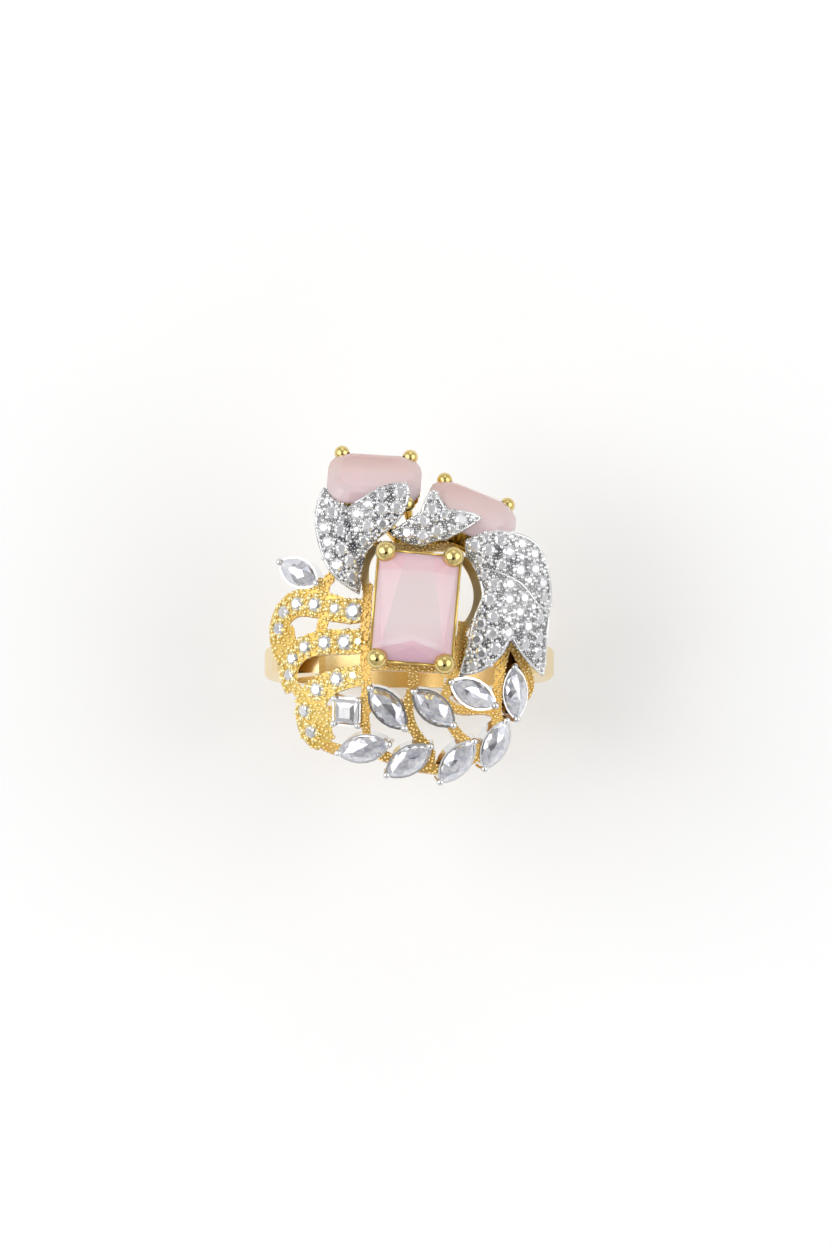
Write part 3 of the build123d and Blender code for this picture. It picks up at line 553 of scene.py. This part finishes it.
# painted light and shade of the side facets that converge upwards, the band across the top, and the
# chevron at the foot
paint_facet_light(
    CENTRE_QUARTZ,
    CENTRE,
    CENTRE_TURN,
    [
        (1.0, 0.196, 1.74, 0.03, (1.03, 0.93, 0.95)),
        (0.62, -0.1, 1.45, 0.05, (0.99, 0.95, 0.97)),
        (0.04, 1.0, 2.72, 0.10, (0.97, 0.86, 0.88)),
        (-0.30, -1.0, 2.05, 0.12, (1.05, 1.07, 1.07)),
        (-0.30, -1.0, 2.48, 0.04, (0.93, 0.80, 0.86)),
        (-0.45, -1.0, 2.95, 0.04, (0.96, 0.90, 0.95)),
    ],
)
LEFT_QUARTZ = banded_quartz(
    "upper_left_quartz",
    [
        (0.0, (0.84, 0.55, 0.61)),
        (0.35, (0.86, 0.68, 0.70)),
        (0.7, (0.85, 0.66, 0.64)),
        (1.0, (0.76, 0.50, 0.47)),
    ],
    10.6,
    15.4,
)
RIGHT_QUARTZ = banded_quartz(
    "upper_right_quartz",
    [
        (0.0, (0.84, 0.56, 0.60)),
        (0.35, (0.86, 0.68, 0.69)),
        (0.7, (0.84, 0.64, 0.62)),
        (1.0, (0.76, 0.50, 0.47)),
    ],
    8.0,
    13.4,
)

# the material of each CAD node; those of the petals and scrolls carry painted shade
SLOTS = {row["node"]: row["material_slot"] for row in frame["record"]["subparts"]}
for name, node in NODES.items():
    node_material = MATERIALS[SLOTS[name]]
    if name.endswith("_petal"):
        node_material = RHODIUM_PAINTED_SHADE
    elif name.endswith("_scroll") or name == "scroll_ties":
        node_material = SCROLL_GOLD_PAINTED_SHADE
    elif name.endswith("_prongs"):
        node_material = PRONG_GOLD
    elif name.endswith("_loop_wire") or name == "top_bar":
        node_material = LOOP_GOLD
    node.data.materials.clear()
    node.data.materials.append(node_material)


# ---- round brilliants -----------------------------------------------------------------------
def brilliant_points(radius):
    """Corners of a round brilliant: table, crown, pavilion, girdle and culet."""
    points = []
    for i in range(8):
        a = 2 * math.pi * i / 8
        b = a + math.pi / 8
        for reach, z, turn in ((0.55, 0.34, a), (0.80, 0.205, b), (0.42, -0.50, b)):
            points.append((reach * radius * math.cos(turn), reach * radius * math.sin(turn), z * radius))
    for i in range(16):
        a = 2 * math.pi * i / 16
        for z in (0.03, -0.03):
            points.append((radius * math.cos(a), radius * math.sin(a), z * radius))
    points.append((0, 0, -0.84 * radius))
    return points


# eight ways out from a point, seen from above
COMPASS = ((1, 0), (-1, 0), (0, 1), (0, -1), (0.7, 0.7), (-0.7, 0.7), (0.7, -0.7), (-0.7, -0.7))


def fill_gaps(builder, plate, stones, chance):
    """Small round stones in the gaps that the main ones leave over a plate."""
    tree = surface(plate)
    low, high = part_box(plate)
    low, high = low / MM, high / MM
    for radius in FILLER_RADII:
        for _ in range(FILLER_TRIES):
            x, y = chance.uniform(low.x, high.x), chance.uniform(low.y, high.y)
            spot, normal = drop(tree, x, y)
            if spot is None or normal.z < FILLER_STEEPEST:
                continue
            if any((spot - c).length < r + radius + FILLER_GAP for c, _n, r in stones):
                continue
            clear = radius * 1.2
            rim = [drop(tree, x + dx * clear, y + dy * clear)[0] for dx, dy in COMPASS]
            if any(edge is None or abs(edge.z - spot.z) > clear for edge in rim):
                continue
            middle = spot + normal * FILLER_LIFT
            stones.append((middle, normal, radius))
            place = frame_matrix(middle, normal, chance.uniform(0, 45))
            faceted_hull(builder, brilliant_points(radius), place)


def stone_axes(part):
    """The mean of a stone's CAD corners, its outward normal and its long axis."""
    centre = part.mean(0)
    _, _, axes = np.linalg.svd(part - centre)
    normal = Vector(axes[2])
    return centre, normal if normal.z >= 0 else -normal, Vector(axes[0])


def read_stone(part):
    """A round stone's middle, outward normal and radius, from its CAD corners."""
    centre, normal, _along = stone_axes(part)
    heights = (part - centre) @ np.array(normal)
    flat = part - centre - np.outer(heights, np.array(normal))
    reach = np.linalg.norm(flat, axis=1)
    # the widest corners are the girdle's
    girdle = part[reach > reach.max() * 0.97]
    return Vector(girdle.mean(0)), normal, float(reach.max())


STONE_NODES = sorted(n for n in NODES if n.endswith("_stones"))
PAVE = {}  # the middle, normal and radius of each stone in a node
for node in STONE_NODES:
    built = Builder()
    PAVE[node] = []
    for part in loose_parts(node):
        middle, normal, radius = read_stone(part)
        place = frame_matrix(middle, normal, random.uniform(0, 45))
        faceted_hull(built, brilliant_points(radius), place)
        PAVE[node].append((middle, normal, radius))
    plate = node.replace("_pave_stones", "_petal")
    if plate != node:
        fill_gaps(built, plate, PAVE[node], random.Random(len(node)))
    built.piece("cut_" + node, MATERIALS["clear_crystal"], "clear_crystal", [node])


# ---- beads round the set stones, and granulation --------------------------------------------
def ring_beads(name, plate, stones_node, material, slot, radius, count=5):
    """Bead prongs over each stone's girdle, shared where two would meet, and their places."""
    outside, overlap, apart = radius * 0.35, radius * 0.2, radius * 1.5
    tree = surface(plate)
    stones = PAVE[stones_node]
    spots, built = [], Builder()
    for centre, normal, reach in stones:
        start = random.uniform(0, 2 * math.pi)
        side = normal.orthogonal().normalized()
        other = normal.cross(side)
        for k in range(count):
            a = start + 2 * math.pi * k / count
            spot = centre + (side * math.cos(a) + other * math.sin(a)) * (reach + outside)
            on, up = drop(tree, spot.x, spot.y)
            if on is None or (on - spot).length > BEAD_REACH:
                continue
            if any((spot - c).length < r + overlap for c, _n, r in stones):
                continue
            if any((on - q).length < apart for q in spots):
                continue
            spots.append(on)
            ball(built, on + up * radius * RAISED, radius, *BEAD_MESH)
    built.piece(name, material, slot)
    return spots


def grains(name, plate, keep_clear, material, slot, radius, spacing):
    """Small grains scattered over a plate, clear of each middle and reach in keep_clear."""
    tree = surface(plate)
    low, high = [[value / MM for value in corner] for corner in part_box(plate)]
    taken, built = {}, Builder()
    tries = int((high[0] - low[0]) * (high[1] - low[1]) / spacing**2 * GRAIN_TRIES)
    least = spacing * GRAIN_LEAST
    for _ in range(tries):
        x, y = random.uniform(low[0], high[0]), random.uniform(low[1], high[1])
        i, j = int(x // spacing), int(y // spacing)
        cells = [(i + di, j + dj) for di in (-1, 0, 1) for dj in (-1, 0, 1)]
        near = [q for cell in cells for q in taken.get(cell, [])]
        if any((x - q[0]) ** 2 + (y - q[1]) ** 2 < least**2 for q in near):
            continue
        spot, normal = drop(tree, x, y)
        if spot is None or normal.z < STEEPEST:
            continue
        if any((spot - c).length < r for c, r in keep_clear):
            continue
        taken.setdefault((i, j), []).append((x, y))
        size = radius * random.uniform(*GRAIN_SIZES)
        ball(built, spot + normal * size * RAISED, size, *GRAIN_MESH)
    built.piece(name, material, slot)


RHODIUM = MATERIALS["white_rhodium"]
for node in sorted(n for n in NODES if n.endswith("_petal")):
    stem = node[: -len("_petal")]
    stones = f"{stem}_pave_stones"
    beads = ring_beads(f"{stem}_bead_prongs", node, stones, RHODIUM, "white_rhodium", PETAL_BEAD)
    clear = [(c, r + 0.02) for c, _n, r in PAVE[stones]] + [(b, BEAD_CLEAR) for b in beads]
    grains(f"{stem}_grain", node, clear, RHODIUM, "white_rhodium", *PETAL_GRAIN)
for stem in ("upper", "middle", "lower"):
    node, stones = f"{stem}_scroll", f"{stem}_scroll_stones"
    beads = ring_beads(f"{node}_bead_prongs", node, stones, GRAIN_GOLD_PAINTED_LIGHT, "grained_gold", SCROLL_BEAD, 6)
    clear = [(c, r + 0.03) for c, _n, r in PAVE[stones]] + [(b, BEAD_CLEAR) for b in beads]
    grains(f"{node}_grain", node, clear, GRAIN_GOLD_PAINTED_LIGHT, "grained_gold", *SCROLL_GRAIN)
GRAINED = [
    "vine_frame", "left_column", "right_column", "cross_bar", "top_bar", "scroll_ties", "leaf_branch",
]
for node in GRAINED:
    grains(f"{node}_grain", node, [], VINE_GRAIN_PAINTED_LIGHT, "grained_gold", *STEM_GRAIN)


# ---- small seats at the inner ends of two scrolls --------------------------------------------
built = Builder()
for node, x, y in SEATS:
    spot, normal = drop(surface(node), x, y)
    side = normal.orthogonal().normalized()
    other = normal.cross(side)
    middle = spot + normal * SEAT_LIFT
    faceted_hull(built, brilliant_points(SEAT_RADIUS), frame_matrix(middle, normal, SEAT_TURN))
    for k in range(4):
        t = math.radians(SEAT_BEAD_FIRST + 90 * k)
        out = side * math.cos(t) + other * math.sin(t)
        ball(built, middle + out * SEAT_BEAD_AT, SEAT_BEAD, *BEAD_MESH)
built.piece("scroll_end_seats", GRAIN_GOLD_PAINTED_LIGHT, "grained_gold")


# ---- petal rims -----------------------------------------------------------------------------
# where each petal's rim runs, seen from above
RIMS = {
    "left_outer_petal": [
        (-3.85, 4.7), (-4.6, 5.0), (-5.5, 5.75), (-6.35, 7.2), (-6.88, 9.6), (-6.65, 11.5),
        (-6.35, 12.2),
    ],
    "left_inner_petal": [
        (-4.45, 10.9), (-3.5, 11.35), (-2.4, 12.0), (-0.35, 12.43), (-0.12, 11.5), (-0.6, 10.2),
        (-1.55, 9.15), (-2.25, 8.7),
    ],
    "middle_petal": [
        (-1.2, 8.92), (-0.7, 9.3), (0.85, 10.2), (1.1, 10.9), (1.7, 12.0), (2.25, 11.35),
        (2.85, 10.5), (4.0, 10.4), (5.2, 10.05), (4.5, 9.42), (3.4, 8.8), (2.75, 8.4),
    ],
    "right_upper_petal": [
        (4.25, 8.15), (5.85, 8.85), (7.4, 8.9), (9.28, 8.22), (10.2, 6.6), (10.48, 4.6),
        (10.35, 3.3),
    ],
    "right_lower_petal": [
        (4.95, 6.3), (6.6, 5.95), (8.25, 5.2), (9.55, 3.7), (10.35, 2.95), (10.22, 1.2),
        (10.1, -0.5), (9.9, -1.35), (9.0, -0.65), (8.25, 0.2), (7.55, 1.1), (6.85, -0.05),
        (5.6, -1.08), (3.9, -1.42), (4.35, 0.4), (4.9, 2.65), (5.45, 4.1), (5.3, 5.3),
    ],
}
built = Builder()
for node, outline in RIMS.items():
    tree = surface(node)
    path = []
    for p in smooth_path([(x, y, 0) for x, y in outline], 8):
        spot, _normal = drop(tree, p.x, p.y)
        if spot is not None:
            path.append(spot)
    tube(built, path, RIM_RADIUS)
built.piece("petal_rims", MATERIALS["white_rhodium"], "white_rhodium")


# ---- pink stones ----------------------------------------------------------------------------
def cut_corner_ring(length, width, corner, z):
    """An oblong with rounded corners, each of four short sides."""
    a, b, c = length / 2, width / 2, corner
    turns = [math.pi / 2 * k / 4 for k in range(5)]
    quarter = [(a - c + c * math.cos(t), b - c + c * math.sin(t)) for t in turns]
    half = quarter + [(-x, y) for x, y in reversed(quarter)]
    return [(x, y, z) for x, y in half + [(-x, -y) for x, y in half]]


def step_cut(builder, place, length, width, corner, crown, depth, table):
    """A step cut with three crown steps, the lowest a narrow one, and three pavilion steps."""
    levels = [(table, crown), (table + (1 - table) * 0.45, crown * 0.72), (0.985, crown * 0.16)]
    levels += [(1.0, 0.05), (1.0, -0.06), (0.86, -depth * 0.35), (0.6, -depth * 0.7), (0.22, -depth)]
    rings = []
    for scale, z in levels:
        c = corner * max(scale, 0.3)
        inset = (1 - scale) * width / 2
        rings.append(cut_corner_ring(length - 2 * inset, width - 2 * inset, c, z))
    rings_mesh(builder, rings, place)


def centre_cut(builder, place):
    """The centre stone: a step at the edge, and side facets that narrow the table towards +Y."""
    a, b, c = CENTRE_SIZE[0] / 2, CENTRE_SIZE[1] / 2, CENTRE_CORNER
    half = [(a, b - c), (a - c, b), (c - a, b), (-a, b - c)]
    outline = half + [(-x, -y) for x, y in half]
    levels = [(1.0, -0.06), (1.0, 0.08), (0.955, 0.42)]
    points = [(x * scale, y * scale, z) for scale, z in levels for x, y in outline]
    table = [(-1.2, 2.75, 1.0), (1.25, 2.65, 1.0), (2.3, -2.75, 1.0), (-2.3, -2.9, 1.0)]
    shoulder = [(-2.2, 3.45, 0.66), (2.2, 3.4, 0.66), (0, 3.5, 0.68), (0, -3.5, 0.74)]
    pavilion = []
    for scale, z in ((0.82, -0.9), (0.52, -1.75), (0.16, -2.4)):
        pavilion += [(x * scale, y * (scale + 0.08), z) for x, y in outline]
    faceted_hull(builder, points + table + shoulder + pavilion, place)


centre_place = frame_matrix(CENTRE, (0, 0, 1), CENTRE_TURN)
built = Builder()
centre_cut(built, centre_place)
built.piece("centre_rose_quartz", CENTRE_QUARTZ, "rose_quartz", ["centre_stone"])

# the bright bezel wires along the centre stone's sides
built = Builder()
half_x, half_y = CENTRE_SIZE[0] / 2 + BEZEL_GAPS[0], CENTRE_SIZE[1] / 2 + BEZEL_GAPS[1]
for z, radius in BEZEL_WIRES:
    along = [(-half_x, half_y - BEZEL_SHORT), (-half_x, 0), (-half_x, BEZEL_SHORT - half_y)]
    for side in (-1, 1):
        tube(built, [centre_place @ Vector((side * x, y, z)) for x, y in along], radius, WIRE_SIDES)
    ends = [(BEZEL_SHORT - half_x, half_y), (0, half_y), (half_x - BEZEL_SHORT, half_y)]
    low_z = z - BEZEL_DROP
    for side in (-1, 1):
        tube(built, [centre_place @ Vector((x, side * y, low_z)) for x, y in ends], radius, WIRE_SIDES)
built.piece("centre_bezel_wires", MATERIALS["polished_gold"], "polished_gold")

BUDS = [("upper_left", UPPER_LEFT, LEFT_QUARTZ), ("upper_right", UPPER_RIGHT, RIGHT_QUARTZ)]
for name, bud, quartz in BUDS:
    place = bud_matrix(**bud)
    built = Builder()
    step_cut(built, place, *BUD_SIZE, *BUD_CUT)
    built.piece(f"{name}_rose_quartz", quartz, "rose_quartz", [f"{name}_stone"])
    built = Builder()
    for growth, top, height, wall in BUD_RAILS:
        outer, inner = growth, growth - 2 * wall
        rings = [
            cut_corner_ring(BUD_SIZE[0] + grow, BUD_SIZE[1] + grow, BUD_CUT[0] + grow / 2, z)
            for grow, z in ((outer, top), (outer, top - height), (inner, top - height), (inner, top))
        ]
        rings_mesh(built, rings + rings[:1], place, caps=False)
    built.piece(f"{name}_rails", MATERIALS["polished_gold"], "polished_gold", [f"{name}_basket"])


# ---- marquises and the square stone ---------------------------------------------------------
def marquise_outline(length, width, z, count=8):
    """Two arcs that meet in points, of count corners each."""
    half = length / 2
    radius = (half**2 + (width / 2) ** 2) / width
    sweep = math.asin(half / radius)
    top = []
    for i in range(count):
        a = sweep - 2 * sweep * i / count
        top.append((radius * math.sin(a), radius * math.cos(a) - radius + width / 2, z))
    return top + [(-x, -y, z) for x, y, z in top]


def marquise_points(length, width, chance):
    """A marquise with an old, busy cut: its crown's corners stand at slightly uneven heights."""
    points = []
    for scale, z, count in ((0.30, 0.52, 3), (0.54, 0.44, 4), (0.76, 0.30, 5), (0.92, 0.16, 6)):
        for x, y, _z in marquise_outline(length * scale, width * scale, 0, count):
            points.append((x, y, z + chance.uniform(-0.02, 0.04)))
    points += marquise_outline(length, width, 0.05) + marquise_outline(length, width, -0.05)
    points += marquise_outline(length * 0.7, width * 0.66, -0.34, 5)
    points += marquise_outline(length * 0.4, width * 0.36, -0.6, 3)
    points += [(length * 0.12, 0, -0.76), (-length * 0.12, 0, -0.76)]
    return points


def read_marquise(part):
    """A marquise's middle, outward normal and long axis, from its CAD corners."""
    centre, normal, along = stone_axes(part)
    reach = np.abs((part - centre) @ np.array(along))
    tips = part[reach > reach.max() * 0.98]
    return Vector(tips.mean(0)), normal, along


for name in sorted(n for n in NODES if n.startswith("marquise_stone_")):
    middle, normal, along = read_marquise(node_points(name))
    side = normal.cross(along)
    rows = Matrix((along, side, normal)).transposed().to_4x4()
    built = Builder()
    cut = marquise_points(*MARQUISE_SIZE, random.Random(name))
    faceted_hull(built, cut, Matrix.Translation(middle) @ rows)
    built.piece("cut_" + name, LONG_CRYSTAL_PAINTED_GLINTS, "clear_crystal", [name])


def square_points(half):
    """A square stone with two crown steps, a corner in the middle of each side, and a pavilion."""
    points = []
    for scale, z in ((0.45, 0.46), (0.72, 0.34), (1.0, 0.06), (1.0, -0.06), (0.6, -0.5), (0.08, -0.95)):
        points += [(x * half * scale, y * half * scale, z) for x in (-1, 1) for y in (-1, 1)]
    ridge = half * 0.78
    return points + [(ridge, 0, 0.33), (-ridge, 0, 0.33), (0, ridge, 0.33), (0, -ridge, 0.33)]


corners = node_points("square_stone")
centre, normal, _along = stone_axes(corners)
# the corners more than a millimetre from the centre are the girdle's
girdle = corners[np.linalg.norm(corners - centre, axis=1) > 1.0]
built = Builder()
place = frame_matrix(Vector(girdle.mean(0)), normal, SQUARE_TURN)
faceted_hull(built, square_points(SQUARE_HALF), place)
built.piece("cut_square_stone", MATERIALS["clear_crystal"], "clear_crystal", ["square_stone"])


# ---- stage ----------------------------------------------------------------------------------
SKY_STRENGTH = 0.83
scene = bpy.context.scene
low, _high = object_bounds()


LIT = Vector((0, 0, 0.01))  # what the lights point at, in metres


def soft_light(name, location, size, energy):
    """A square light of size metres and energy watts."""
    data = bpy.data.lights.new(name, "AREA")
    data.shape, data.size, data.energy = "SQUARE", size, energy
    light = bpy.data.objects.new(name, data)
    light.location = location
    light.rotation_euler = (LIT - Vector(location)).to_track_quat("-Z", "Y").to_euler()
    scene.collection.objects.link(light)


# a near-white floor, half a millimetre under the ring
floor_mesh = bpy.data.meshes.new("floor")
half, floor_z = 4.0, low.z - 0.5 * MM
floor_corners = [(x * half, y * half, floor_z) for x, y in ((-1, -1), (1, -1), (1, 1), (-1, 1))]
floor_mesh.from_pydata(floor_corners, [], [(0, 1, 2, 3)])
floor = bpy.data.objects.new("floor", floor_mesh)
scene.collection.objects.link(floor)
floor_material, floor_tree, floor_shader = new_material("floor")
floor_noise = noise(floor_tree, 8.0)
floor_greys = [(0.0, (0.93, 0.93, 0.93)), (1.0, (0.97, 0.97, 0.97))]
floor_colour = ramp(floor_tree, floor_noise.outputs["Fac"], floor_greys)
floor_tree.links.new(floor_colour.outputs["Color"], floor_shader.inputs["Base Color"])
floor_shader.inputs["Roughness"].default_value = 0.9
floor_mesh.materials.append(floor_material)

# a patchy white sky with a dark spot overhead and a bright panel to each side
world = bpy.data.worlds.new("studio")
scene.world = world
world.use_nodes = True
sky = world.node_tree
background = sky.nodes["Background"]
sky_coord = sky.nodes.new("ShaderNodeTexCoord")


def sky_patch(direction, degrees, soft):
    """1 inside a round patch of the sky, falling to 0 over soft degrees."""
    dot = sky.nodes.new("ShaderNodeVectorMath")
    dot.operation = "DOT_PRODUCT"
    sky.links.new(sky_coord.outputs["Generated"], dot.inputs[0])
    dot.inputs[1].default_value = Vector(direction).normalized()
    step = sky.nodes.new("ShaderNodeMapRange")
    step.interpolation_type = "SMOOTHSTEP"
    step.inputs["From Min"].default_value = math.cos(math.radians(degrees + soft))
    step.inputs["From Max"].default_value = math.cos(math.radians(degrees))
    sky.links.new(dot.outputs["Value"], step.inputs["Value"])
    return step.outputs["Result"]


def sky_mix(below, factor, colour):
    """A colour laid over the sky below it, as far as factor says."""
    mixed = sky.nodes.new("ShaderNodeMix")
    mixed.data_type = "RGBA"
    sky.links.new(factor, mixed.inputs[0])
    sky.links.new(below, mixed.inputs[6])
    mixed.inputs[7].default_value = (*colour, 1)
    return mixed.outputs[2]


patches = noise(sky, 1.7, 1.0)
sky.links.new(sky_coord.outputs["Generated"], patches.inputs["Vector"])
tent = ramp(sky, patches.outputs["Fac"], [(0.42, (0.55, 0.55, 0.55)), (0.52, (0.85, 0.85, 0.85))])
light = tent.outputs["Color"]
for direction, degrees, grey in (
    ((0.0, -0.38, 0.92), 11.0, 0.06),
    ((-0.74, 0.12, 0.66), 24.0, 2.6),
    ((0.74, 0.12, 0.66), 22.0, 2.3),
):
    light = sky_mix(light, sky_patch(direction, degrees, 8.0), (grey, grey, grey))
sky.links.new(light, background.inputs["Color"])
background.inputs["Strength"].default_value = SKY_STRENGTH
soft_light("key", (-0.16, -0.05, 0.34), 0.12, 0.11)
soft_light("fill", (0.22, -0.12, 0.26), 0.16, 0.05)
soft_light("back", (0.02, 0.30, 0.20), 0.16, 0.05)
scene.view_settings.view_transform = "Standard"

# a long lens, almost straight above the ring
ELEVATION, DISTANCE = math.radians(86.0), 0.5
camera_data = bpy.data.cameras.new("camera")
camera_data.sensor_fit, camera_data.sensor_height, camera_data.lens = "VERTICAL", 36.0, 189.2
camera_data.clip_start, camera_data.clip_end = 0.01, 10.0
camera = bpy.data.objects.new("camera", camera_data)
aim = Vector((0.51, 3.056, 0.0)) * MM
back = Vector((0, -math.cos(ELEVATION), math.sin(ELEVATION)))
camera.location = aim + back * DISTANCE
camera.rotation_euler = (-back).to_track_quat("-Z", "Y").to_euler()
scene.collection.objects.link(camera)
scene.camera = camera
